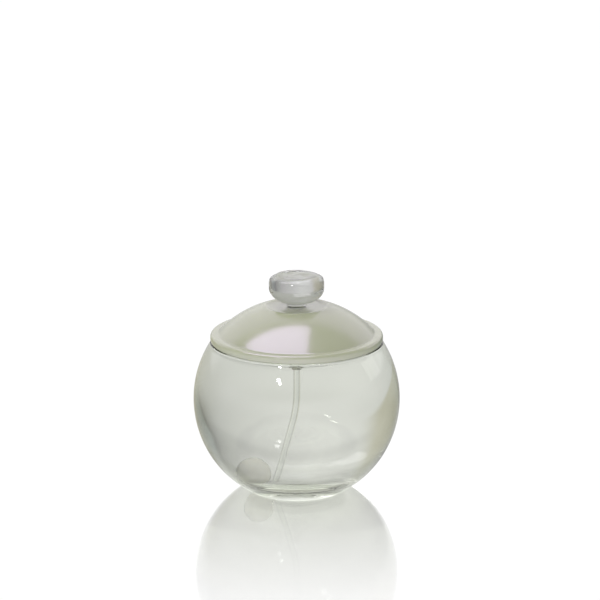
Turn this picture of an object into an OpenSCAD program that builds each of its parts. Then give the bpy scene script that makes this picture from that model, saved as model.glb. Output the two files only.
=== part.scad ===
// Ball-shaped perfume spray bottle with a crimped pump, a dip tube, a loose bead and a lift-off domed lid.
// Millimetres, +Z up, origin at the centre of the base.

/* [Glass ball] */
// Radius of the ball at its widest
ball_r = 37; // [36.6:0.1:37.4]
// Half height of the ball if it were not cut flat at its base and top
ball_half_h = 37.6; // [37.2:0.1:38]
// Height of the ball's centre above the base
ball_mid_z = 33.2; // [32.8:0.1:33.6]
// Thickness of the glass wall
wall_t = 4.7; // [4.3:0.1:5]
// Thickness of the glass under the bead's trough
floor_z = 7.8; // [7.4:0.1:8.4]
// Rise of the floor from the trough to the centre
push_up = 0.8; // [0.4:0.1:1.2]
// Height of the shoulder that carries the lid's rim
shoulder_z = 54.4; // [54.2:0.1:54.6]

/* [Neck] */
// Height of the dished top around the neck
well_z = 52; // [51.8:0.1:52.2]
// Radius of the bead that the ferrule grips
neck_bead_r = 7.5; // [7.3:0.1:7.6]
// Radius of the neck's bore
neck_bore_r = 4.2; // [4:0.1:4.4]
// Height of the neck's lip
neck_top_z = 56.6; // [56.5:0.1:56.7]

/* [Bead] */
// Radius of the loose pearl bead
pearl_r = 4.5; // [4.2:0.1:4.6]
// Distance of the bead's centre from the axis
trough_r = 11; // [10.8:0.1:11.4]

/* [Pump] */
// Travel of the spray head
stroke = 2.4; // [2:0.1:2.4]
// Outer radius of the dip tube
tube_r = 0.9; // [0.8:0.05:0.95]
// Radius of the dip tube's bore
tube_bore_r = 0.6; // [0.5:0.05:0.65]
// Outer radius of the pump housing
housing_r = 3.6; // [3.4:0.1:3.7]
// Radius of the cylinder bore in the pump housing
cylinder_r = 2.6; // [2.5:0.05:2.7]
// Outer radius of the spray head
head_r = 9.4; // [9.2:0.1:9.5]
// Height of the spray head's top
head_top_z = 65.1; // [65:0.1:65.2]

/* [Lid] */
// Radius of the lid's rim
rim_r = 30.8; // [30.6:0.1:31]
// Height of the flat ledge around the dome
ledge_z = 57.6; // [57.4:0.1:57.8]
// Radius of the dome's outer surface
dome_r = 39.1; // [39:0.1:39.2]
// Height of the centre of the dome's outer surface
dome_mid_z = 30.2; // [30.1:0.1:30.3]
// Thickness of the dome
dome_t = 2; // [1.8:0.1:2.1]
// Depth of the shallow dish around the knob's stem
seat_dish = 0.3; // [0.2:0.1:0.4]

/* [Knob] */
// Radius of the knob
knob_r = 9.9; // [9.5:0.1:10.2]
// Height of the knob's widest part
knob_mid_z = 74; // [73.7:0.1:74.3]
// Height of the knob's top
knob_top_z = 79.1; // [78.8:0.1:79.5]
// Radius of the stem under the knob
stem_r = 3.6; // [3.2:0.1:3.8]

/* [Hidden] */
$fn = 96;

// Gap left between neighbouring solids that touch in the real bottle
touch = 0.02;
// Gap left around the liquid
skin = 0.05;
// How far a cutting shape runs past the solid it cuts
over = 1;

// Base of the glass: a shallow hollow inside a flat ring, then a rounded heel
base_lift = 0.6;
base_hollow_r = 10.4;
base_ring_in_r = 11.4;
base_ring_out_r = 16.4;
heel_r = 17.6;
heel_z = 0.15;

// Top of the glass: a flat rest for the lid's rim, then a slope down to the neck
rest_in_r = 27;
slope_foot_r = 13.4;
bead_under = 1.1;

// Cavity: a ball above, a rounded trough below and a dished ceiling that follows the top of the glass
cavity_r = ball_r - wall_t;
mid_to_floor = ball_mid_z - floor_z;
trough_curve = (cavity_r * cavity_r - trough_r * trough_r - mid_to_floor * mid_to_floor)
             / (2 * (cavity_r - mid_to_floor));
trough_mid_z = floor_z + trough_curve;
trough_end_a = atan2(trough_mid_z - ball_mid_z, trough_r);
ceiling_edge_z = shoulder_z - 3.2;
ceiling_outer = [25.2, shoulder_z - 2.4];
ceiling_inner = [13.5, well_z - 2.4];

// Pump, from the neck's lip upwards
gasket_t = 0.5;
flange_t = 0.5;
turret_t = 0.8;
sheet_t = 0.4;
flange_r = neck_bead_r - 0.3;
gasket_z = neck_top_z + touch;
flange_z = gasket_z + gasket_t + touch;
turret_z = flange_z + flange_t + touch;
plate_z = turret_z + turret_t + touch;
ferrule_r = neck_bead_r + 2 * touch + sheet_t;
ferrule_top_z = plate_z + sheet_t;
hub_r = 2.4;
hub_top_z = ferrule_top_z + 0.15;
crimp_z = well_z + 0.3;

// Pump, from the inlet upwards
tail_end_z = 42.2;
tail = [[1.15, tail_end_z], [1.25, 45.2], [1.5, 46], [2.1, 46.9], [housing_r, 48.2]];
tube_top_z = 44.9;
seat_low_z = 46;
seat_low_r = 0.55;
ball_valve_r = 1.1;
ball_valve_z = seat_low_z - seat_low_r + ball_valve_r * sqrt(2) + touch;
chamber_r = 1.5;
web_z = 48.6;
web_t = 0.6;
web_hole_r = 0.85;
stem_out_r = 1.2;
stem_bore_r = 0.5;
stem_foot_r = 2.1;
stem_foot_z = 53.4;
stem_foot_t = 0.6;
stem_top_z = 62.9;
piston_z = stem_foot_z + stem_foot_t + touch;
piston_t = 1.4;
seal_t = 0.4;
seal_r = 3.4;
run_gap = 0.05;

// Spray head
head_roof_z = ferrule_top_z + stroke + 0.3;
skirt_t = 1;
skirt_z = 56.2;
nozzle_z = head_roof_z + 1.8;
nozzle_r = 1.2;
nozzle_depth = 2.6;
duct_r = 0.4;

// Collar
lock_z = well_z + 0.1;
lock_t = 1.2;
collar_in_r = head_r + 0.4;
collar_r = 12;
collar_top_z = 57.6;

// Dip tube: straight below the pump, then a bend to the left and a straight end
bend_z = 35;
bend_r = 34;
bend_a = 14.4;
tube_end_l = 17.2;

// Lid
rim_z = shoulder_z + 0.1;
liner_in_r = collar_r + 0.15;
liner_r = 13.2;
liner_z = 53.2;
liner_top_z = 64;
boss_r = 15;
boss_z = 60;

// Dished seat under the knob: a rounded lip on the dome, then a gentle hollow down to the flat seat
lip_r = 12;
lip_a = asin(lip_r / dome_r);
lip_curve = 2.5;
lip_mid = [lip_r - lip_curve * sin(lip_a), dome_mid_z + (dome_r - lip_curve) * cos(lip_a)];
dish_a = 18;
dish_top_z = lip_mid[1] + lip_curve * cos(dish_a);
dish_curve = seat_dish / (1 - cos(dish_a));
dish_mid = [lip_mid[0] - (lip_curve + dish_curve) * sin(dish_a),
            lip_mid[1] + (lip_curve + dish_curve) * cos(dish_a)];
seat_z = dish_top_z - seat_dish;
seat_t = 1.5;
inner_dome_r = dome_r - dome_t;
dome_ceiling_z = seat_z - seat_t;
spigot_r = 2.2;

// Points [r, z] along an arc of an ellipse
function arc(mid_r, mid_z, size_r, size_z, from, to, steps) =
  [for (i = [0 : steps]) let (a = from + (to - from) * i / steps)
    [mid_r + size_r * cos(a), mid_z + size_z * sin(a)]];

// Outline of one half of the hollow in the glass, drawn in by a gap
function cavity_outline(gap) = concat(
  [for (r = [0 : 1 : trough_r - 1])
    [r, floor_z + gap + push_up * (1 + cos(180 * r / trough_r)) / 2]],
  arc(trough_r, trough_mid_z, trough_curve - gap, trough_curve - gap, -90, trough_end_a, 16),
  arc(0, ball_mid_z, cavity_r - gap, cavity_r - gap, trough_end_a,
      asin((ceiling_edge_z - ball_mid_z) / cavity_r), 16),
  [[ceiling_outer[0] - gap, ceiling_outer[1] - gap],
   [ceiling_inner[0], ceiling_inner[1] - gap],
   [0, ceiling_inner[1] - gap]]);

// Turns an outline of [r, z] points about the axis
module turned(outline) {
  rotate_extrude() polygon(outline);
}

// A round bar or, with a bore, a tube along Z
module ring(outer_r, inner_r, low_z, high_z) {
  difference() {
    translate([0, 0, low_z]) cylinder(r = outer_r, h = high_z - low_z);
    if (inner_r > 0)
      translate([0, 0, low_z - over]) cylinder(r = inner_r, h = high_z - low_z + 2 * over);
  }
}

module glass_bottle() {
  edge = 0.5;
  lip_edge = 0.4;
  bead_z = well_z + 1.8;
  low_a = asin((base_lift - ball_mid_z) / ball_half_h);
  top_a = asin((shoulder_z - edge - ball_mid_z) / ball_half_h);
  shoulder_r = ball_r * cos(top_a);
  outer = concat(
    [[0, base_lift], [base_hollow_r, base_lift], [base_ring_in_r, 0], [base_ring_out_r, 0],
     [heel_r, heel_z]],
    arc(0, ball_mid_z, ball_r, ball_half_h, low_a, top_a, 36),
    [[shoulder_r - edge, shoulder_z - edge / 4], [shoulder_r - 2 * edge, shoulder_z],
     [rest_in_r, shoulder_z], [slope_foot_r, well_z], [neck_bead_r - bead_under + edge, well_z],
     [neck_bead_r - bead_under, well_z + lip_edge], [neck_bead_r - bead_under, bead_z - lip_edge],
     [neck_bead_r, bead_z], [neck_bead_r, neck_top_z - lip_edge],
     [neck_bead_r - lip_edge, neck_top_z], [0, neck_top_z]]);
  color("honeydew", 0.4) difference() {
    turned(outer);
    turned(cavity_outline(0));
    ring(neck_bore_r, 0, ceiling_inner[1] - over, neck_top_z + over);
  }
}

// The liquid leaves a round channel so that the bead can travel round the trough
module perfume() {
  color("lightgoldenrodyellow", 0.4) difference() {
    turned(cavity_outline(skin));
    housing_outside(skin);
    tube_path(tube_r + skin, 0);
    rotate_extrude() translate([trough_r, floor_z + pearl_r + skin]) circle(r = pearl_r + 2 * skin);
  }
}

module pearl() {
  color("ivory") translate([-trough_r, 0, floor_z + pearl_r + skin]) sphere(r = pearl_r);
}

// The dip tube's route: a solid bar, or a tube where the inner radius isn't 0
module tube_path(outer_r, inner_r) {
  ring(outer_r, inner_r, bend_z, tube_top_z);
  translate([-bend_r, 0, bend_z]) rotate([-90, 0, 0])
    rotate_extrude(angle = bend_a) translate([bend_r, 0]) difference() {
      circle(r = outer_r);
      if (inner_r > 0) circle(r = inner_r);
    }
  translate([-bend_r, 0, bend_z]) rotate([0, bend_a, 0]) translate([bend_r, 0, 0])
    ring(outer_r, inner_r, -tube_end_l, 0);
}

module dip_tube() {
  color("whitesmoke", 0.7) tube_path(tube_r, tube_bore_r);
}

// Outside of the pump housing below its flange
module housing_outside(gap) {
  top_z = flange_z + flange_t;
  turned(concat(
    [[0, tail_end_z - gap], [tail[0][0] + gap, tail_end_z - gap]],
    [for (i = [1 : len(tail) - 1]) [tail[i][0] + gap, tail[i][1]]],
    [[housing_r + gap, top_z], [0, top_z]]));
}

module pump_housing() {
  color("white") difference() {
    union() {
      housing_outside(0);
      ring(flange_r, 0, flange_z, flange_z + flange_t);
    }
    ring(tube_r + touch, 0, tail_end_z - over, tube_top_z + touch);
    ring(seat_low_r, 0, tube_top_z - over, seat_low_z + over);
    turned([[0, seat_low_z], [seat_low_r, seat_low_z], [chamber_r, seat_low_z + chamber_r - seat_low_r],
            [chamber_r, web_z], [0, web_z]]);
    ring(web_hole_r, 0, web_z - over, web_z + over);
    ring(cylinder_r, 0, web_z + web_t, flange_z + flange_t + over);
  }
}

module inlet_ball() {
  color("gray") translate([0, 0, ball_valve_z]) sphere(r = ball_valve_r);
}

// A helix swept as one closed mesh, with flat rings at both ends
module return_spring() {
  wire_r = 0.2;
  coil_r = 1.9;
  turns = 4;
  per_turn = 14;
  sides = 6;
  low = web_z + web_t + touch + wire_r;
  high = stem_foot_z - touch - wire_r;
  rings = turns * per_turn;
  points = [for (i = [0 : rings], k = [0 : sides - 1])
    let (a = 360 * i / per_turn, b = 360 * k / sides, r = coil_r + wire_r * cos(b))
    [r * cos(a), r * sin(a), low + (high - low) * i / rings + wire_r * sin(b)]];
  walls = [for (i = [0 : rings - 1], k = [0 : sides - 1])
    let (n = (k + 1) % sides)
    [i * sides + k, i * sides + n, (i + 1) * sides + n, (i + 1) * sides + k]];
  ends = [[for (k = [sides - 1 : -1 : 0]) k], [for (k = [0 : sides - 1]) rings * sides + k]];
  color("silver") polyhedron(points = points, faces = concat(walls, ends));
}

module piston() {
  color("gainsboro") ring(cylinder_r - touch, stem_out_r + touch, piston_z, piston_z + piston_t);
}

module stem() {
  color("white") difference() {
    union() {
      ring(stem_out_r, 0, stem_foot_z, stem_top_z);
      ring(stem_foot_r, 0, stem_foot_z, stem_foot_z + stem_foot_t);
    }
    ring(stem_bore_r, 0, stem_foot_z - over, stem_top_z + over);
  }
}

module stem_seal() {
  color("dimgray") ring(seal_r, stem_out_r + run_gap, turret_z, turret_z + seal_t);
}

module turret() {
  color("white") difference() {
    union() {
      ring(flange_r, 0, turret_z, turret_z + turret_t);
      ring(hub_r, 0, turret_z, hub_top_z);
    }
    ring(seal_r + touch, 0, turret_z - over, turret_z + seal_t + touch);
    ring(stem_out_r + run_gap, 0, turret_z - over, hub_top_z + over);
  }
}

module neck_gasket() {
  color("dimgray") ring(flange_r, neck_bore_r + 0.1, gasket_z, gasket_z + gasket_t);
}

module ferrule() {
  inner_r = ferrule_r - sheet_t;
  hub_hole_r = hub_r + 0.2;
  crimp_r = neck_bead_r - 0.9;
  bend = 0.3;
  color("silver") turned([
    [hub_hole_r, plate_z], [inner_r, plate_z], [inner_r, well_z + 1.6], [crimp_r, well_z + 1.1],
    [crimp_r, crimp_z], [ferrule_r - bend, crimp_z], [ferrule_r, crimp_z + bend],
    [ferrule_r, ferrule_top_z - sheet_t], [ferrule_r - sheet_t, ferrule_top_z],
    [hub_hole_r, ferrule_top_z]]);
}

module lock_ring() {
  color("white") ring(collar_in_r - touch, ferrule_r + touch, lock_z, lock_z + lock_t);
}

module collar() {
  bevel = 0.2;
  lip = 0.5;
  lip_cut = 0.15;
  color("silver") turned([
    [collar_in_r, well_z + touch], [collar_r - bevel, well_z + touch], [collar_r, well_z + touch + bevel],
    [collar_r, collar_top_z - lip], [collar_r - lip_cut, collar_top_z - lip_cut],
    [collar_r - lip, collar_top_z], [collar_in_r + bevel, collar_top_z],
    [collar_in_r, collar_top_z - bevel]]);
}

// The nozzle's axis, pointing at the user's front side
module along_nozzle(from_r) {
  translate([0, -from_r, nozzle_z]) rotate([90, 0, 0]) children();
}

module actuator() {
  dish_r = 42;
  dish = 0.4;
  bevel = 0.2;
  top_edge = 0.5;
  color("white") difference() {
    turned([[0, head_roof_z], [head_r - skirt_t, head_roof_z], [head_r - skirt_t, skirt_z],
            [head_r - bevel, skirt_z], [head_r, skirt_z + bevel], [head_r, head_top_z - top_edge],
            [head_r - bevel, head_top_z - bevel], [head_r - top_edge, head_top_z], [0, head_top_z]]);
    translate([0, 0, head_top_z + dish_r - dish]) sphere(r = dish_r);
    ring(stem_out_r + touch, 0, head_roof_z - over, stem_top_z + touch);
    ring(duct_r, 0, stem_top_z - over, nozzle_z);
    along_nozzle(0) cylinder(r = duct_r, h = head_r);
    along_nozzle(head_r - nozzle_depth) cylinder(r = nozzle_r, h = nozzle_depth + over);
  }
}

module nozzle_insert() {
  cup_h = nozzle_depth - 0.3;
  cup_wall = 0.5;
  mist_r = 0.15;
  flare_r = 0.6;
  flare_h = 0.6;
  color("white") difference() {
    along_nozzle(head_r - nozzle_depth + 0.1) cylinder(r = nozzle_r - touch, h = cup_h);
    along_nozzle(head_r - nozzle_depth) cylinder(r = nozzle_r - cup_wall, h = cup_h - cup_wall);
    along_nozzle(head_r - nozzle_depth) cylinder(r = mist_r, h = nozzle_depth + over);
    along_nozzle(head_r - flare_h + 0.1) cylinder(r1 = mist_r, r2 = flare_r, h = flare_h);
  }
}

// Dome with a flat ledge and a rounded rim, hollow below, with a ring that holds the liner
module lid_dome() {
  rim_in_r = 27.4;
  rim_edge = 0.5;
  rim_edge_mid = 0.15;
  rim_side = 0.8;
  ledge_a = asin((ledge_z - dome_mid_z) / dome_r);
  inner_a = asin((rim_z + 1.6 - dome_mid_z) / inner_dome_r);
  ceiling_a = asin((dome_ceiling_z - dome_mid_z) / inner_dome_r);
  outer = concat(
    [[0, rim_z], [rim_r - rim_edge, rim_z], [rim_r - rim_edge_mid, rim_z + 2 * rim_edge_mid],
     [rim_r, rim_z + rim_side], [rim_r, ledge_z - rim_side],
     [rim_r - rim_edge_mid, ledge_z - 2 * rim_edge_mid], [rim_r - rim_edge, ledge_z]],
    arc(0, dome_mid_z, dome_r, dome_r, ledge_a, 90 - lip_a, 18),
    arc(lip_mid[0], lip_mid[1], lip_curve, lip_curve, 90 - lip_a, 90 + dish_a, 6),
    arc(dish_mid[0], dish_mid[1], dish_curve, dish_curve, dish_a - 90, -90, 4),
    [[0, seat_z]]);
  inner = concat(
    [[0, rim_z - over], [rim_in_r, rim_z - over], [rim_in_r, rim_z]],
    arc(0, dome_mid_z, inner_dome_r, inner_dome_r, inner_a, ceiling_a, 14),
    [[0, dome_ceiling_z]]);
  color("beige", 0.8) difference() {
    union() {
      difference() {
        turned(outer);
        turned(inner);
      }
      ring(boss_r, liner_r + touch, boss_z, dome_ceiling_z - 0.3);
    }
    ring(spigot_r + touch, 0, boss_z, seat_z + over);
  }
}

module lid_liner() {
  lead_in = 0.4;
  color("white") difference() {
    ring(liner_r, liner_in_r, liner_z, liner_top_z);
    turned([[0, liner_z - 0.1], [liner_in_r + lead_in, liner_z - 0.1],
            [liner_in_r - 0.1, liner_z + 1.5 * lead_in], [0, liner_z + 1.5 * lead_in]]);
  }
}

// How far a squarish oval of a given power reaches at an angle, for half axes of 1
function oval(angle, power) = pow(pow(cos(angle), power) + pow(sin(angle), power), -1 / power);

// A clear button with a squarish shoulder and a dished top, on a short stem with a spigot
module knob() {
  top_h = knob_top_z - knob_mid_z;
  low_h = knob_mid_z - seat_z - 1.15;
  top_power = 4.6;
  low_power = 2.1;
  rim_step = 6;
  dish = 0.6;
  dish_edge_r = 7.2;
  dish_r = (dish_edge_r * dish_edge_r + dish * dish) / (2 * dish);
  low_edge = [for (a = [90 - rim_step : -rim_step : 0])
    oval(a, low_power) * [knob_r * cos(a), -low_h * sin(a)]];
  high_edge = [for (a = [rim_step : rim_step : 90 - rim_step])
    oval(a, top_power) * [knob_r * cos(a), top_h * sin(a)]];
  color("aliceblue", 0.5) difference() {
    union() {
      translate([0, 0, knob_mid_z]) turned(concat([[0, -low_h]], low_edge, high_edge, [[0, top_h]]));
      ring(stem_r, 0, seat_z + touch, knob_mid_z);
      ring(spigot_r, 0, dome_ceiling_z + 0.05, knob_mid_z);
    }
    translate([0, 0, knob_top_z - dish + dish_r]) sphere(r = dish_r);
  }
}

glass_bottle();
perfume();
pearl();
dip_tube();
pump_housing();
inlet_ball();
return_spring();
piston();
stem();
stem_seal();
turret();
neck_gasket();
ferrule();
lock_ring();
collar();
actuator();
nozzle_insert();
lid_dome();
lid_liner();
knob();
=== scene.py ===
"""Looks for a ball-shaped perfume spray bottle with a pearly domed lid.

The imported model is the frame. The visible turned pieces, the dip tube and the spring are rebuilt as finer
meshes in the same places, every piece gets a procedural material, and a light tent with a mirror-like white
floor stands round the bottle.
"""
import math

import bmesh
import bpy
from mathutils import Matrix, Vector

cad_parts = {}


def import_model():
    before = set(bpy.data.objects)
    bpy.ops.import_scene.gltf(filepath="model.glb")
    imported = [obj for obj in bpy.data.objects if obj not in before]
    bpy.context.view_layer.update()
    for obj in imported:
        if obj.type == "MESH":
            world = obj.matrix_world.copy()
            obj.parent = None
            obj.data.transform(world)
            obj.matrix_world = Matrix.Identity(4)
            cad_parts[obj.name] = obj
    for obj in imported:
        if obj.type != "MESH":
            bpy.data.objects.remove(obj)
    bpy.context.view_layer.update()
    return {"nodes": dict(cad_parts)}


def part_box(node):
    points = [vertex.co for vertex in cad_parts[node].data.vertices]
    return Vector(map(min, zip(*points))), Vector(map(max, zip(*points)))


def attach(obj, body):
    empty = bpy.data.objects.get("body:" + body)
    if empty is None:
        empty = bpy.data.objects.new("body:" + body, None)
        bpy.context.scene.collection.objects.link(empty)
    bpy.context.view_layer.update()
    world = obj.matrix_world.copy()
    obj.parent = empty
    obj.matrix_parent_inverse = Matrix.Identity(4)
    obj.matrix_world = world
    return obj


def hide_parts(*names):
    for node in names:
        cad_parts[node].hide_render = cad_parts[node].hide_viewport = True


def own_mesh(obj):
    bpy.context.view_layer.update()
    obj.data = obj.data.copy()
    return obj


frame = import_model()

MM = 0.001
TURN_STEPS = 192

# Sizes in millimetres, as in the part
BALL_R = 37.0
BALL_HALF_H = 37.6
BALL_MID_Z = 33.2
WALL_T = 4.7
FLOOR_Z = 7.8
PUSH_UP = 0.8
TROUGH_R = 11.0
SHOULDER_Z = 54.4
WELL_Z = 52.0
NECK_BEAD_R = 7.5
NECK_BORE_R = 4.2
NECK_TOP_Z = 56.6
PEARL_R = 4.5
RIM_Z = 54.5
RIM_R = 30.8
LEDGE_Z = 57.6
DOME_R = 39.1
DOME_MID_Z = 30.2
DOME_T = 2.0
LIP_R = 12.0
LIP_CURVE = 2.5
DISH_A = 18.0
SEAT_DISH = 0.3
KNOB_R = 9.9
KNOB_MID_Z = 74.0
KNOB_TOP_Z = 79.1
STEM_R = 3.6
LIP_A = math.degrees(math.asin(LIP_R / DOME_R))
LIP_MID = (LIP_R - LIP_CURVE * math.sin(math.radians(LIP_A)),
           DOME_MID_Z + (DOME_R - LIP_CURVE) * math.cos(math.radians(LIP_A)))
SEAT_Z = LIP_MID[1] + LIP_CURVE * math.cos(math.radians(DISH_A)) - SEAT_DISH
CEILING_Z = SEAT_Z - 1.5


# ---------------------------------------------------------------- outlines

def arc(mid_r, mid_z, size_r, size_z, start, end, steps):
    """Points (r, z) along an arc of an ellipse, in degrees."""
    angles = [math.radians(start + (end - start) * i / steps) for i in range(steps + 1)]
    return [(mid_r + size_r * math.cos(a), mid_z + size_z * math.sin(a)) for a in angles]


def rounded(corners, steps=6):
    """An outline through corners (r, z, radius), each rounded by its radius where that isn't 0."""
    points = []
    count = len(corners)
    for i, (r, z, radius) in enumerate(corners):
        if radius <= 0 or i in (0, count - 1):
            points.append((r, z))
            continue
        here = Vector((r, z))
        to_last = (Vector(corners[i - 1][:2]) - here).normalized()
        to_next = (Vector(corners[i + 1][:2]) - here).normalized()
        half = to_last.angle(to_next) / 2
        reach = radius / math.tan(half)
        middle = here + (to_last + to_next).normalized() * (radius / math.sin(half))
        first = here + to_last * reach - middle
        last = here + to_next * reach - middle
        sweep = first.angle_signed(last)
        for k in range(steps + 1):
            spoke = Matrix.Rotation(-sweep * k / steps, 2) @ first
            points.append(tuple(middle + spoke))
    return points


def cavity(grow):
    """Outline of the hollow in the glass from the floor's centre to the ceiling, grown into the glass."""
    inner_r = BALL_R - WALL_T
    drop = BALL_MID_Z - FLOOR_Z
    curve = (inner_r ** 2 - TROUGH_R ** 2 - drop ** 2) / (2 * (inner_r - drop))
    trough_mid_z = FLOOR_Z + curve
    join = math.degrees(math.atan2(trough_mid_z - BALL_MID_Z, TROUGH_R))
    top = math.degrees(math.asin((SHOULDER_Z - 3.2 - BALL_MID_Z) / inner_r))
    floor = [(TROUGH_R * i / 16, FLOOR_Z - grow + PUSH_UP * (1 + math.cos(math.pi * i / 16)) / 2)
             for i in range(16)]
    return (floor
            + arc(TROUGH_R, trough_mid_z, curve + grow, curve + grow, -90, join, 40)
            + arc(0, BALL_MID_Z, inner_r + grow, inner_r + grow, join, top, 48)[1:]
            + [(26.2 + grow, SHOULDER_Z - 2.65 + grow), (25.2 + grow, SHOULDER_Z - 2.4 + grow),
               (13.5 + grow, WELL_Z - 2.4 + grow)])


# ---------------------------------------------------------------- meshes

def make_piece(name, bm, body, material, stands_for, sharp=32):
    """Turns a bmesh into a smooth piece that rides on a body and stands for a CAD node."""
    mesh = bpy.data.meshes.new(name)
    bmesh.ops.recalc_face_normals(bm, faces=bm.faces)
    bm.to_mesh(mesh)
    bm.free()
    mesh.polygons.foreach_set("use_smooth", [True] * len(mesh.polygons))
    mesh.set_sharp_from_angle(angle=math.radians(sharp))
    piece = bpy.data.objects.new(name, mesh)
    bpy.context.scene.collection.objects.link(piece)
    mesh.materials.append(material)
    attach(piece, body)
    if stands_for:
        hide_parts(stands_for)
    return piece


def lathe(outline, closed=False, steps=TURN_STEPS):
    """A bmesh turned about Z from an outline of (r, z) in millimetres.

    Points on the axis become one vertex; closed joins the last ring to the first.
    """
    bm = bmesh.new()
    rows = []
    for r, z in outline:
        if r < 1e-6:
            rows.append([bm.verts.new((0, 0, z * MM))])
        else:
            rows.append([bm.verts.new((r * MM * math.cos(a), r * MM * math.sin(a), z * MM))
                         for a in (2 * math.pi * k / steps for k in range(steps))])
    pairs = list(zip(rows, rows[1:])) + ([(rows[-1], rows[0])] if closed else [])
    for low, high in pairs:
        for k in range(steps):
            n = (k + 1) % steps
            loop = [low[k % len(low)], low[n % len(low)], high[n % len(high)], high[k % len(high)]]
            corners = [v for i, v in enumerate(loop) if v not in loop[:i]]
            if len(corners) > 2:
                bm.faces.new(corners)
    return bm


def sweep_tube(path, outer, inner, sides=32):
    """A bmesh of a tube with an open bore along path, which lies in a plane of constant Y."""
    bm = bmesh.new()
    rings = {outer: [], inner: []}
    for i, point in enumerate(path):
        ahead = (path[min(i + 1, len(path) - 1)] - path[max(i - 1, 0)]).normalized()
        side = Vector((0, 1, 0))
        across = ahead.cross(side).normalized()
        for radius, made in rings.items():
            made.append([bm.verts.new((point + (across * math.cos(a) + side * math.sin(a)) * radius) * MM)
                         for a in (2 * math.pi * k / sides for k in range(sides))])
    for radius, made in rings.items():
        for low, high in zip(made, made[1:]):
            for k in range(sides):
                n = (k + 1) % sides
                bm.faces.new((low[k], low[n], high[n], high[k]))
    for end in (0, -1):
        for k in range(sides):
            n = (k + 1) % sides
            bm.faces.new((rings[outer][end][k], rings[outer][end][n],
                          rings[inner][end][n], rings[inner][end][k]))
    return bm


# ---------------------------------------------------------------- materials

def math_node(tree, operation, first, second=None):
    """One math node; first and second are sockets or numbers."""
    made = tree.nodes.new("ShaderNodeMath")
    made.operation = operation
    for socket, value in zip(made.inputs, (first, second)):
        if isinstance(value, bpy.types.NodeSocket):
            tree.links.new(value, socket)
        elif value is not None:
            socket.default_value = value
    return made.outputs[0]


def remap(tree, source, from_min, from_max, to_min=0.0, to_max=1.0):
    """A smooth step of a socket from one range to another."""
    made = tree.nodes.new("ShaderNodeMapRange")
    made.interpolation_type = "SMOOTHSTEP"
    limits = {"From Min": from_min, "From Max": from_max, "To Min": to_min, "To Max": to_max}
    for name, value in limits.items():
        made.inputs[name].default_value = value
    tree.links.new(source, made.inputs["Value"])
    return made.outputs["Result"]


def blend(tree, factor, first, second, mode="MIX"):
    """Mixes two colours, each a socket or three numbers."""
    made = tree.nodes.new("ShaderNodeMix")
    made.data_type = "RGBA"
    made.blend_type = mode
    tree.links.new(factor, made.inputs[0])
    for socket, value in ((made.inputs[6], first), (made.inputs[7], second)):
        if isinstance(value, bpy.types.NodeSocket):
            tree.links.new(value, socket)
        else:
            socket.default_value = (*value, 1)
    return made.outputs[2]


class Maker:
    """Builds one Principled material with a few helper nodes."""

    def __init__(self, name, **constants):
        self.material = bpy.data.materials.new(name)
        self.material.use_nodes = True
        self.tree = self.material.node_tree
        self.shader = self.tree.nodes["Principled BSDF"]
        for socket, value in constants.items():
            self.shader.inputs[socket.replace("_", " ")].default_value = value
        self.place = self.tree.nodes.new("ShaderNodeTexCoord").outputs["Object"]

    def noise(self, scale, detail=3.0, roughness=0.5, stretch=(1, 1, 1)):
        """Noise over the piece; scale is per metre."""
        mapping = self.tree.nodes.new("ShaderNodeMapping")
        mapping.inputs["Scale"].default_value = stretch
        self.tree.links.new(self.place, mapping.inputs["Vector"])
        node = self.tree.nodes.new("ShaderNodeTexNoise")
        node.inputs["Scale"].default_value = scale
        node.inputs["Detail"].default_value = detail
        node.inputs["Roughness"].default_value = roughness
        self.tree.links.new(mapping.outputs["Vector"], node.inputs["Vector"])
        return node.outputs["Fac"]

    def ramp(self, source, stops):
        """A colour ramp; stops are (position, colour) with three numbers."""
        node = self.tree.nodes.new("ShaderNodeValToRGB")
        elements = node.color_ramp.elements
        while len(elements) < len(stops):
            elements.new(0.5)
        for element, (position, colour) in zip(elements, stops):
            element.position = position
            element.color = (*colour, 1)
        self.tree.links.new(source, node.inputs["Fac"])
        return node.outputs["Color"]

    def spread(self, source, low, high):
        """Maps a noise's middle range to a pair of numbers."""
        node = self.tree.nodes.new("ShaderNodeMapRange")
        node.inputs["From Min"].default_value = 0.3
        node.inputs["From Max"].default_value = 0.7
        node.inputs["To Min"].default_value = low
        node.inputs["To Max"].default_value = high
        self.tree.links.new(source, node.inputs["Value"])
        return node.outputs["Result"]

    def feed(self, socket, source):
        self.tree.links.new(source, self.shader.inputs[socket])

    def bump(self, source, strength, distance):
        node = self.tree.nodes.new("ShaderNodeBump")
        node.inputs["Strength"].default_value = strength
        node.inputs["Distance"].default_value = distance
        self.tree.links.new(source, node.inputs["Height"])
        self.feed("Normal", node.outputs["Normal"])


def clear_material(name, tint_a, tint_b, ior, wave_scale, wave, roughness=(0.0, 0.01),
                   clearness=1.0):
    """Clear glass, liquid or plastic with faint cords of tint and a nearly flat surface."""
    m = Maker(name, Transmission_Weight=clearness, IOR=ior)
    m.feed("Base Color", m.ramp(m.noise(40, 2), [(0.3, tint_a), (0.7, tint_b)]))
    m.feed("Roughness", m.spread(m.noise(300, 2), *roughness))
    m.bump(m.noise(wave_scale, 1, 0.4), 1.0, wave)
    return m.material


def moulded(name, colour, shade, roughness, grain_scale=2500, grain=0.00001, **constants):
    """Moulded plastic or rubber with a fine grain."""
    m = Maker(name, **constants)
    m.feed("Base Color", m.ramp(m.noise(120, 4), [(0.3, colour), (0.7, shade)]))
    m.feed("Roughness", m.spread(m.noise(500, 3), roughness - 0.05, roughness + 0.05))
    m.bump(m.noise(grain_scale, 3), 0.5, grain)
    return m.material


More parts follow.
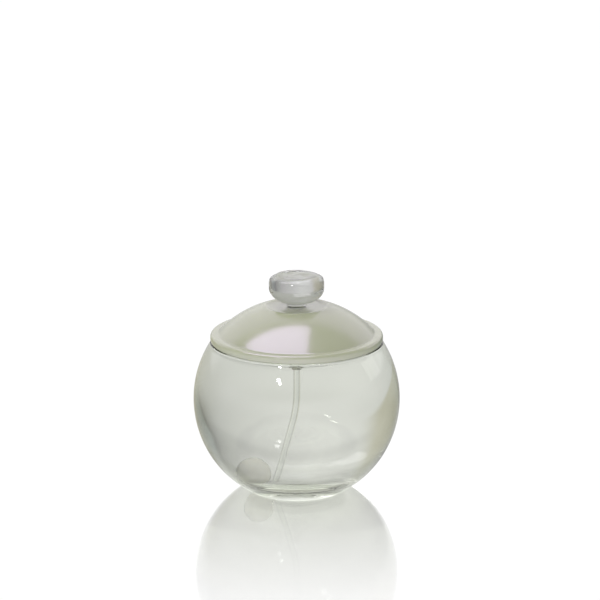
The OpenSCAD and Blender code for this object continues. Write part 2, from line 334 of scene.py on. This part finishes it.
def metal(name, colour, shade, roughness, stretch):
    """Metal with fine turning or rolling lines."""
    m = Maker(name, Metallic=1.0)
    m.feed("Base Color", m.ramp(m.noise(200, 4), [(0.3, colour), (0.7, shade)]))
    m.feed("Roughness", m.spread(m.noise(900, 3, 0.6, stretch), roughness - 0.06, roughness + 0.06))
    m.bump(m.noise(1500, 2, 0.6, stretch), 0.3, 0.00001)
    return m.material


def pearl_lid_material():
    """Pearlised translucent plastic: green-beige inside, lilac in the sheen."""
    m = Maker("lid_pearl_plastic", IOR=2.2, Subsurface_Weight=0.3, Subsurface_Scale=0.003,
              Subsurface_Radius=(1.0, 1.0, 0.8), Coat_Weight=0.5, Coat_Roughness=0.14, Coat_IOR=1.5,
              Specular_Tint=(0.80, 0.62, 1.0, 1))
    body = m.ramp(m.noise(30, 3, 0.5, (1, 1, 0.4)),
                  [(0.25, (0.415, 0.45, 0.285)), (0.75, (0.45, 0.485, 0.315))])
    # Painted light: below the ledge, the rim's side is made lighter and more lilac than the rest of the lid
    parts = m.tree.nodes.new("ShaderNodeSeparateXYZ")
    m.tree.links.new(m.place, parts.inputs[0])
    rim = remap(m.tree, parts.outputs["Z"], (LEDGE_Z - 1.6) * MM, (LEDGE_Z - 0.2) * MM, 1, 0)
    m.feed("Base Color", blend(m.tree, rim, body, (1.42, 1.40, 1.62), "MULTIPLY"))
    m.feed("Roughness", m.spread(m.noise(150, 3), 0.17, 0.22))
    m.bump(m.noise(4000, 2), 0.15, 0.000005)
    return m.material


def nacre_material():
    """Pale nacre that light passes through with a blur."""
    m = Maker("bead_nacre", IOR=1.035, Transmission_Weight=0.88,
              Subsurface_Weight=1.0, Subsurface_Scale=0.004, Subsurface_Radius=(1.0, 0.95, 0.85))
    m.feed("Base Color", m.ramp(m.noise(220, 4), [(0.3, (0.95, 0.94, 0.86)), (0.7, (0.98, 0.97, 0.92))]))
    m.feed("Roughness", m.spread(m.noise(400, 3), 0.40, 0.50))
    m.bump(m.noise(900, 3), 0.2, 0.00002)
    return m.material


GLASS = clear_material("bottle_glass", (0.968, 0.978, 0.959), (0.972, 0.981, 0.963), 1.5, 25, 0.00002)
LIQUID = clear_material("perfume_liquid", (0.95, 0.955, 0.92), (0.96, 0.965, 0.93), 1.36, 10, 0.000001)
TUBE = clear_material("tube_plastic", (0.955, 0.96, 0.95), (0.975, 0.98, 0.97), 1.14, 200, 0.00001,
                      (0.05, 0.15))
ACRYLIC = clear_material("knob_acrylic", (0.77, 0.775, 0.77), (0.82, 0.822, 0.818), 1.49, 160, 0.00010,
                         clearness=0.88)
LID_PEARL = pearl_lid_material()
NACRE = nacre_material()
NATURAL = moulded("natural_plastic", (0.80, 0.80, 0.77), (0.76, 0.76, 0.73), 0.38,
                  Subsurface_Weight=0.2, Subsurface_Scale=0.001)
HOUSING = moulded("housing_plastic", (0.93, 0.93, 0.89), (0.90, 0.90, 0.86), 0.30,
                  Transmission_Weight=0.8, IOR=1.12)
LINER = moulded("liner_plastic", (0.78, 0.78, 0.74), (0.74, 0.74, 0.70), 0.42)
HEAD = moulded("head_plastic", (0.84, 0.84, 0.82), (0.81, 0.81, 0.79), 0.18, Coat_Weight=0.4)
INSERT = moulded("insert_plastic", (0.62, 0.62, 0.60), (0.58, 0.58, 0.56), 0.4)
SEAL = moulded("seal_rubber", (0.03, 0.03, 0.03), (0.05, 0.05, 0.05), 0.62)
SEAL_PLASTIC = moulded("seal_plastic", (0.70, 0.70, 0.68), (0.66, 0.66, 0.64), 0.35)
FERRULE_METAL = metal("ferrule_aluminium", (0.86, 0.86, 0.87), (0.80, 0.80, 0.82), 0.22, (1, 1, 8))
COLLAR_METAL = metal("collar_aluminium", (0.88, 0.87, 0.85), (0.83, 0.82, 0.80), 0.25, (1, 1, 12))
STEEL = metal("polished_steel", (0.62, 0.62, 0.63), (0.55, 0.55, 0.57), 0.14, (1, 1, 1))
SPRING_STEEL = metal("spring_steel", (0.60, 0.60, 0.62), (0.50, 0.50, 0.52), 0.22, (4, 4, 1))


# ---------------------------------------------------------------- the bottle and what is in it

def glass_bottle():
    low = math.degrees(math.asin((0.35 - BALL_MID_Z) / BALL_HALF_H))
    top = math.degrees(math.asin((SHOULDER_Z - 0.9 - BALL_MID_Z) / BALL_HALF_H))
    base = rounded([(0, 0.6, 0), (10.4, 0.6, 0.8), (11.4, 0, 0.8), (15.6, 0, 0)])
    heel = [(16.6, 0.0), (17.2, 0.09), (17.7, 0.2)]
    wall = arc(0, BALL_MID_Z, BALL_R, BALL_HALF_H, low, top, 110)
    shoulder_r, shoulder_z = wall[-1]
    throat_r, throat_z = NECK_BEAD_R - 1.1, WELL_Z - 2.4
    shoulder = rounded([(shoulder_r, shoulder_z, 0), (shoulder_r - 0.35, SHOULDER_Z, 0.7),
                        (27, SHOULDER_Z, 3), (13.4, WELL_Z, 4), (throat_r, WELL_Z, 0.5),
                        (throat_r, WELL_Z + 1.4, 0.4), (NECK_BEAD_R, WELL_Z + 1.8, 0.4),
                        (NECK_BEAD_R, NECK_TOP_Z, 0.5), (NECK_BORE_R, NECK_TOP_Z, 0.4),
                        (NECK_BORE_R, throat_z, 0.8), (9, throat_z, 0)])
    hollow = cavity(0)[::-1]
    outline = base + heel + wall[:-1] + shoulder[:-1] + hollow
    make_piece("glass_ball", lathe(outline), "bottle", GLASS, "glass_bottle", sharp=60)


def perfume():
    """The liquid reaches a little into the glass and the housing, so that no air gap shows between them."""
    outline = cavity(0.06) + [(4.3, WELL_Z - 2.34), (3.4, WELL_Z - 2.34), (3.4, 48.3), (1.9, 46.9),
                              (1.3, 46.1), (1.05, 45.2), (1.0, 42.4), (0, 42.4)]
    make_piece("perfume_fill", lathe(outline), "bottle", LIQUID, "perfume", sharp=60)


def pearl():
    low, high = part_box("pearl")
    bm = bmesh.new()
    bmesh.ops.create_icosphere(bm, subdivisions=5, radius=PEARL_R * MM,
                               matrix=Matrix.Translation((Vector(low) + Vector(high)) / 2))
    make_piece("pearl_bead", bm, "bead", NACRE, "pearl")


def dip_tube():
    top_z, bend_z, bend_r, bend_a, end_l = 44.9, 35.0, 34.0, 14.4, 17.2
    path = [Vector((0, 0, top_z + (bend_z - top_z) * i / 10)) for i in range(10)]
    path += [Vector((-bend_r * (1 - math.cos(a)), 0, bend_z - bend_r * math.sin(a)))
             for a in (math.radians(bend_a * i / 30) for i in range(31))]
    down = Vector((-math.sin(math.radians(bend_a)), 0, -math.cos(math.radians(bend_a))))
    path += [path[-1] + down * (end_l * i / 12) for i in range(1, 13)]
    make_piece("dip_tube_clear", sweep_tube(path, 0.9, 0.6), "bottle", TUBE, "dip_tube",
               sharp=60)


def lid_dome():
    inner_r = DOME_R - DOME_T
    ledge = math.degrees(math.asin((LEDGE_Z - DOME_MID_Z) / DOME_R))

    def inner_angle(height=None, radius=None):
        """Where the inside of the dome passes a height or a radius, in degrees."""
        if radius is None:
            return math.degrees(math.asin((height - DOME_MID_Z) / inner_r))
        return math.degrees(math.acos(radius / inner_r))

    dish_curve = SEAT_DISH / (1 - math.cos(math.radians(DISH_A)))
    reach = LIP_CURVE + dish_curve
    dish_mid = (LIP_MID[0] - reach * math.sin(math.radians(DISH_A)),
                LIP_MID[1] + reach * math.cos(math.radians(DISH_A)))
    dome = arc(0, DOME_MID_Z, DOME_R, DOME_R, ledge, 90 - LIP_A, 60)
    lip = arc(*LIP_MID, LIP_CURVE, LIP_CURVE, 90 - LIP_A, 90 + DISH_A, 14)
    dish = arc(*dish_mid, dish_curve, dish_curve, DISH_A - 90, -90, 10)
    start_r, start_z = dome[0]
    rim = rounded([(27.4, RIM_Z + 0.6, 0), (27.4, RIM_Z, 0.2), (RIM_R, RIM_Z, 1.0), (RIM_R, LEDGE_Z, 1.2),
                   (start_r + 0.15, LEDGE_Z, 0.12), dome[1] + (0,)], 10)
    low_in, boss_in, liner_in = inner_angle(RIM_Z + 1.6), inner_angle(radius=15.0), inner_angle(radius=13.22)
    boss_top = DOME_MID_Z + inner_r * math.sin(math.radians(boss_in))
    liner_top = DOME_MID_Z + inner_r * math.sin(math.radians(liner_in))
    boss = rounded([(15.0, boss_top, 0), (15.0, 60, 0.2), (13.22, 60, 0.2), (13.22, liner_top, 0)])
    inside = (arc(0, DOME_MID_Z, inner_r, inner_r, low_in, boss_in, 30)[:-1] + boss
              + arc(0, DOME_MID_Z, inner_r, inner_r, liner_in, inner_angle(CEILING_Z), 12)[1:])
    hole = [(2.22, CEILING_Z), (2.22, SEAT_Z)]
    outline = rim[:-1] + dome[1:] + lip[1:] + dish[1:] + hole[::-1] + inside[::-1]
    make_piece("lid_dome_pearl", lathe(outline, closed=True), "lid", LID_PEARL,
               "lid_dome", sharp=40)


def oval(half_r, half_z, power, start, end, steps):
    """Points of a squarish oval about (0, 0), by angle in degrees."""
    points = []
    for i in range(steps + 1):
        a = math.radians(start + (end - start) * i / steps)
        c, s = max(math.cos(a), 0), math.sin(a)
        size = (c ** power + abs(s) ** power) ** (-1 / power)
        points.append((half_r * c * size, half_z * s * size))
    return points


def limited(value):
    """Keeps a value within 0 and 1."""
    return min(max(value, 0), 1)


def wave_knob(bm):
    """Dents the knob's side and ripples its top a little, always inwards."""
    for vert in bm.verts:
        r, z = vert.co.xy.length / MM, vert.co.z / MM
        if r < 0.01 or z < SEAT_Z + 1.5:
            continue
        turn = math.atan2(vert.co.y, vert.co.x)
        dent = 0.05 * (1 + math.cos(7 * turn + 1)) + 0.03 * (1 + math.cos(11 * turn))
        dent *= limited((r - 5) / 3)
        ripple = 0.14 * (1 + math.sin(2 * turn + 0.9 * r))
        ripple *= limited((z - KNOB_MID_Z - 3) / 1.5) * min(r / 3, 1)
        vert.co.x *= 1 - dent / r
        vert.co.y *= 1 - dent / r
        vert.co.z -= ripple * MM


def knob():
    """A clear button with a dished, slightly wavy top."""
    top_h, low_h = KNOB_TOP_Z - KNOB_MID_Z, KNOB_MID_Z - SEAT_Z - 1.15
    low = [(r, KNOB_MID_Z + z) for r, z in oval(KNOB_R, low_h, 2.1, -90, 0, 60) if r > STEM_R + 0.5]
    high = [(r, KNOB_MID_Z + z) for r, z in oval(KNOB_R, top_h, 4.6, 0, 90, 60)[1:]]
    stem = rounded([(0, CEILING_Z + 0.07, 0), (2.15, CEILING_Z + 0.07, 0.2), (2.15, SEAT_Z + 0.02, 0),
                    (STEM_R, SEAT_Z + 0.02, 0.15), (STEM_R, low[0][1] - 0.25, 0.5), low[0] + (0,)])
    dish, dish_edge_r = 0.6, 7.2
    dish_r = (dish_edge_r ** 2 + dish ** 2) / (2 * dish)
    dish_mid_z = KNOB_TOP_Z - dish + dish_r
    top = []
    for r, z in high:
        dished = dish_mid_z - math.sqrt(dish_r ** 2 - r * r)
        top.append((r, min(z, dished) - 0.02))
    outline = stem[:-1] + low + top
    bm = lathe(outline)
    wave_knob(bm)
    make_piece("knob_clear", bm, "lid", ACRYLIC, "knob", sharp=60)


def return_spring():
    """The steel coil under the stem, built at its rest length; the real coil shortens as the pump is pressed.
    """
    low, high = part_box("return_spring")
    wire_r, coil_r, turns, per_turn, sides = 0.2, 1.9, 4, 48, 12
    steps = turns * per_turn
    bottom, top = low[2] / MM + wire_r, high[2] / MM - wire_r
    bm = bmesh.new()
    rings = []
    for i in range(steps + 1):
        a = 2 * math.pi * i / per_turn
        z = bottom + (top - bottom) * i / steps
        spokes = [(coil_r + wire_r * math.cos(b), z + wire_r * math.sin(b))
                  for b in (2 * math.pi * k / sides for k in range(sides))]
        rings.append([bm.verts.new((r * MM * math.cos(a), r * MM * math.sin(a), h * MM)) for r, h in spokes])
    for first, second in zip(rings, rings[1:]):
        for k in range(sides):
            n = (k + 1) % sides
            bm.faces.new((first[k], first[n], second[n], second[k]))
    bm.faces.new(rings[0][::-1])
    bm.faces.new(rings[-1])
    coil = make_piece("spring_coil", bm, "bottle", SPRING_STEEL, "return_spring", sharp=60)
    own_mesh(coil)


def dress(node, material):
    """Gives a CAD node that keeps its own mesh its material."""
    mesh = frame["nodes"][node].data
    mesh.materials.clear()
    mesh.materials.append(material)


glass_bottle()
perfume()
pearl()
dip_tube()
lid_dome()
knob()
return_spring()
for node_name, finish in {
    "pump_housing": HOUSING, "inlet_ball": STEEL, "piston": SEAL_PLASTIC,
    "stem": NATURAL, "stem_seal": SEAL, "turret": NATURAL, "neck_gasket": SEAL, "ferrule": FERRULE_METAL,
    "lock_ring": NATURAL, "collar": COLLAR_METAL, "actuator": HEAD, "nozzle_insert": INSERT,
    "lid_liner": LINER,
}.items():
    dress(node_name, finish)


# ---------------------------------------------------------------- light tent, floor and camera

def node(tree, kind, **values):
    """A node with its inputs or its settings filled in by name."""
    made = tree.nodes.new(kind)
    for key, value in values.items():
        if key in made.inputs:
            made.inputs[key].default_value = value
        else:
            setattr(made, key, value)
    return made


def round_ramp(tree, turn, stops):
    """A colour ramp round the bottle; stops are (degrees clockwise from straight behind, colour)."""
    made = tree.nodes.new("ShaderNodeValToRGB")
    elements = made.color_ramp.elements
    while len(elements) < len(stops):
        elements.new(0.5)
    for element, (degrees, colour) in zip(elements, stops):
        element.position = 0.5 + degrees / 360
        element.color = (*colour, 1)
    tree.links.new(turn, made.inputs["Fac"])
    return made.outputs["Color"]


def grey(level):
    """A grey with a touch less blue."""
    return (level, level, level * 0.99)


# The tent's tones: (degrees clockwise from straight behind, brightness or colour)
FLOOR_TONES = [(-180, grey(1.1)), (-100, grey(0.9)), (-55, grey(0.5)), (-35, grey(0.7)), (-5, grey(0.75)),
               (20, grey(0.55)), (45, grey(0.45)), (60, grey(0.25)), (100, grey(0.75)), (180, grey(1.1))]
WALL_TONES = [(-180, grey(1.0)), (-90, grey(0.55)), (-50, grey(0.6)), (-25, grey(0.7)), (-5, grey(0.8)),
              (20, grey(0.5)), (30, grey(0.3)), (34, grey(0.15)), (38, (0.25, 0.28, 0.28)),
              (46, (0.28, 0.30, 0.31)), (58, grey(0.18)), (90, grey(0.45)), (180, grey(1.0))]
CARD_TONES = [(-100, (0.35, 0.34, 0.27)), (-56, (0.35, 0.34, 0.27)), (-44, (0.45, 0.43, 0.32)),
              (-28, (0.55, 0.53, 0.43))]
SKY = (0.50, 0.51, 0.46)
# The horizon is a little darker, and the floor under the bottle brighter, which is painted light under the
# bottle
HORIZON_TINT = (0.90, 0.90, 0.90)
PAINTED_UNDER_LIGHT = (1.60, 1.68, 1.52)
# Height in metres at which light leaves the ball on its way to the floor
LEAVING_Z = 0.022
# The card's edge: its tip's place in radians, and how fast it runs back below and above the tip
CARD_TIP_RISE = -0.157
CARD_TIP_TURN = -0.28
CARD_SLOPE_BELOW = 2
CARD_SLOPE_ABOVE = 1.25
CARD_MOST_ABOVE = 0.195


def card_share(tree, turn, rise):
    """How much of a direction the beige card fills; its edge is crisp low down and soft above."""
    depth = math_node(tree, "MAXIMUM", math_node(tree, "SUBTRACT", CARD_TIP_RISE, rise), 0)
    height = math_node(tree, "MAXIMUM", math_node(tree, "SUBTRACT", rise, CARD_TIP_RISE), 0)
    below = math_node(tree, "MULTIPLY", depth, CARD_SLOPE_BELOW)
    above = math_node(tree, "MINIMUM", math_node(tree, "MULTIPLY", height, CARD_SLOPE_ABOVE), CARD_MOST_ABOVE)
    slant = math_node(tree, "ADD", below, above)
    past = math_node(tree, "ADD", math_node(tree, "ADD", turn, -CARD_TIP_TURN), slant)
    softness = remap(tree, rise, -0.21, -0.14, 0.025, 0.10)
    share = remap(tree, math_node(tree, "DIVIDE", past, softness), -1, 1, 1, 0)
    for limit in (remap(tree, rise, 0.30, 0.55, 1, 0), remap(tree, turn, -1.6, -1.2)):
        share = math_node(tree, "MULTIPLY", share, limit)
    return share


def surroundings(tree, direction):
    """What stands round the bottle in each direction: a dark flag on the right, a beige card on the left."""
    unit = tree.nodes.new("ShaderNodeVectorMath")
    unit.operation = "NORMALIZE"
    tree.links.new(direction, unit.inputs[0])
    parts = tree.nodes.new("ShaderNodeSeparateXYZ")
    tree.links.new(unit.outputs[0], parts.inputs[0])
    turn = math_node(tree, "ARCTAN2", parts.outputs["X"], parts.outputs["Y"])
    rise = math_node(tree, "ARCSINE", parts.outputs["Z"])
    around = math_node(tree, "ADD", math_node(tree, "DIVIDE", turn, 2 * math.pi), 0.5)
    low = round_ramp(tree, around, FLOOR_TONES)
    high = round_ramp(tree, around, WALL_TONES)
    tone = blend(tree, remap(tree, rise, -0.27, -0.10), low, high)
    near_horizon = math_node(tree, "MULTIPLY", remap(tree, rise, -0.12, -0.078),
                             remap(tree, rise, -0.068, 0.0, 1, 0))
    tone = blend(tree, near_horizon, tone, HORIZON_TINT, "MULTIPLY")
    card = card_share(tree, turn, rise)
    tone = blend(tree, card, tone, round_ramp(tree, around, CARD_TONES))
    # Painted light: straight down, under the bottle, the tent and the floor glow brighter
    tone = blend(tree, remap(tree, rise, -1.0, -0.65, 1, 0), tone, PAINTED_UNDER_LIGHT, "MULTIPLY")
    return blend(tree, remap(tree, rise, 0.10, 0.30), tone, SKY)


def world():
    """A light tent; the camera itself sees plain white."""
    made = bpy.data.worlds.new("tent")
    bpy.context.scene.world = made
    made.use_nodes = True
    tree = made.node_tree
    where = node(tree, "ShaderNodeTexCoord")
    shade = surroundings(tree, where.outputs["Generated"])
    seen = node(tree, "ShaderNodeLightPath")
    parts = node(tree, "ShaderNodeSeparateXYZ")
    tree.links.new(where.outputs["Generated"], parts.inputs[0])
    behind = math_node(tree, "MULTIPLY", remap(tree, parts.outputs["Z"], 0.05, 0.18),
                       remap(tree, parts.outputs["Y"], 0.3, 0.6))
    reflected = math_node(tree, "SUBTRACT", seen.outputs["Is Glossy Ray"],
                          seen.outputs["Is Transmission Ray"])
    mirrored = math_node(tree, "MULTIPLY", math_node(tree, "MAXIMUM", reflected, 0), behind)
    plain = math_node(tree, "MAXIMUM", seen.outputs["Is Camera Ray"], mirrored)
    choose = blend(tree, plain, shade, (1.05, 1.05, 1.05))
    tree.links.new(choose, tree.nodes["Background"].inputs["Color"])


def floor():
    """A white floor that mirrors the bottle near its base and fades to plain white further out."""
    half = 3.0
    bm = bmesh.new()
    bmesh.ops.create_grid(bm, x_segments=8, y_segments=8, size=half)
    mesh = bpy.data.meshes.new("floor")
    bm.to_mesh(mesh)
    bm.free()
    sheet = bpy.data.objects.new("floor", mesh)
    sheet.location.z = -0.00005
    bpy.context.scene.collection.objects.link(sheet)
    material = bpy.data.materials.new("floor_white")
    material.use_nodes = True
    tree = material.node_tree
    tree.nodes.clear()
    out = node(tree, "ShaderNodeOutputMaterial")
    where = node(tree, "ShaderNodeTexCoord")
    flat = node(tree, "ShaderNodeVectorMath", operation="LENGTH")
    tree.links.new(where.outputs["Object"], flat.inputs[0])
    mirror = node(tree, "ShaderNodeMapRange",
                  **{"From Min": 0.0, "From Max": 0.133, "To Min": 0.9, "To Max": 0.0})
    tree.links.new(flat.outputs["Value"], mirror.inputs["Value"])
    seen = node(tree, "ShaderNodeLightPath")
    share = remap(tree, seen.outputs["Is Camera Ray"], 0, 1, 0.35, 1.0)
    weight = math_node(tree, "MULTIPLY", mirror.outputs["Result"], share)
    from_ball = node(tree, "ShaderNodeVectorMath", operation="SUBTRACT")
    tree.links.new(where.outputs["Object"], from_ball.inputs[0])
    from_ball.inputs[1].default_value = (0, 0, LEAVING_Z)
    shade = surroundings(tree, from_ball.outputs[0])
    glow = node(tree, "ShaderNodeEmission", Strength=1.0)
    lit = blend(tree, seen.outputs["Is Camera Ray"], shade, (1.02, 1.02, 1.02))
    tree.links.new(lit, glow.inputs["Color"])
    gloss = node(tree, "ShaderNodeBsdfGlossy", Roughness=0.03, Color=(1, 1, 1, 1))
    mix = node(tree, "ShaderNodeMixShader")
    tree.links.new(weight, mix.inputs[0])
    tree.links.new(glow.outputs[0], mix.inputs[1])
    tree.links.new(gloss.outputs[0], mix.inputs[2])
    tree.links.new(mix.outputs[0], out.inputs["Surface"])
    mesh.materials.append(material)


def softbox(name, direction, distance, size, radiance, shape="RECTANGLE", colour=(1, 1, 1)):
    """An area light that faces the middle of the bottle; radiance is what a mirror would show."""
    middle = Vector((0, 0, 0.05))
    direction = Vector(direction).normalized()
    light = bpy.data.lights.new(name, "AREA")
    light.shape = shape
    light.size, light.size_y = size
    area = size[0] * size[1] * (math.pi / 4 if shape == "ELLIPSE" else 1)
    light.energy = radiance * math.pi * area
    light.color = colour
    lamp = bpy.data.objects.new(name, light)
    lamp.location = middle + direction * distance
    lamp.rotation_mode = "QUATERNION"
    lamp.rotation_quaternion = direction.to_track_quat("Z", "Y")
    bpy.context.scene.collection.objects.link(lamp)


def overhead_box():
    """The box light that faces straight down and shows as the lilac patch on the lid."""
    light = bpy.data.lights.new("overhead_box", "AREA")
    light.shape = "RECTANGLE"
    light.size, light.size_y = 0.66, 0.45
    light.energy = 2.5 * math.pi * light.size * light.size_y
    light.color = (1.0, 0.97, 1.05)
    lamp = bpy.data.objects.new("overhead_box", light)
    lamp.location = (-0.22, -0.025, 0.66)
    bpy.context.scene.collection.objects.link(lamp)


def camera():
    """Looks down at 17.5 degrees with a long lens; the bottle sits low in the square frame."""
    lens, sensor = 135.0, 36.0
    elevation = math.radians(17.5)
    view_w, ball_left, ball_down = 215.8, 1.2, 35.1
    distance = view_w * lens / sensor * MM
    back = Vector((0, -math.cos(elevation), math.sin(elevation)))
    ball = Vector((0, 0, BALL_MID_Z * MM))
    data = bpy.data.cameras.new("camera")
    data.lens, data.sensor_width = lens, sensor
    data.clip_start, data.clip_end = 0.05, 20
    cam = bpy.data.objects.new("camera", data)
    right_turn = math.atan(ball_left * MM / distance)
    up_turn = math.atan(ball_down * MM / distance)
    facing = (-back).to_track_quat("-Z", "Y").to_matrix()
    turned = facing @ Matrix.Rotation(-right_turn, 3, "Y") @ Matrix.Rotation(up_turn, 3, "X")
    cam.rotation_mode = "QUATERNION"
    cam.rotation_quaternion = turned.to_quaternion()
    cam.location = ball + back * distance
    bpy.context.scene.collection.objects.link(cam)
    bpy.context.scene.camera = cam


world()
floor()
overhead_box()
softbox("key_lamp", (-0.333, -0.777, 0.533), 1.0, (0.08, 0.08), 40, "ELLIPSE")
softbox("right_box", (0.903, 0.33, 0.276), 0.8, (0.16, 0.24), 0.9)
camera()

scene = bpy.context.scene
scene.view_settings.view_transform = "Standard"
scene.cycles.max_bounces = 24
scene.cycles.transmission_bounces = 24
scene.cycles.glossy_bounces = 8
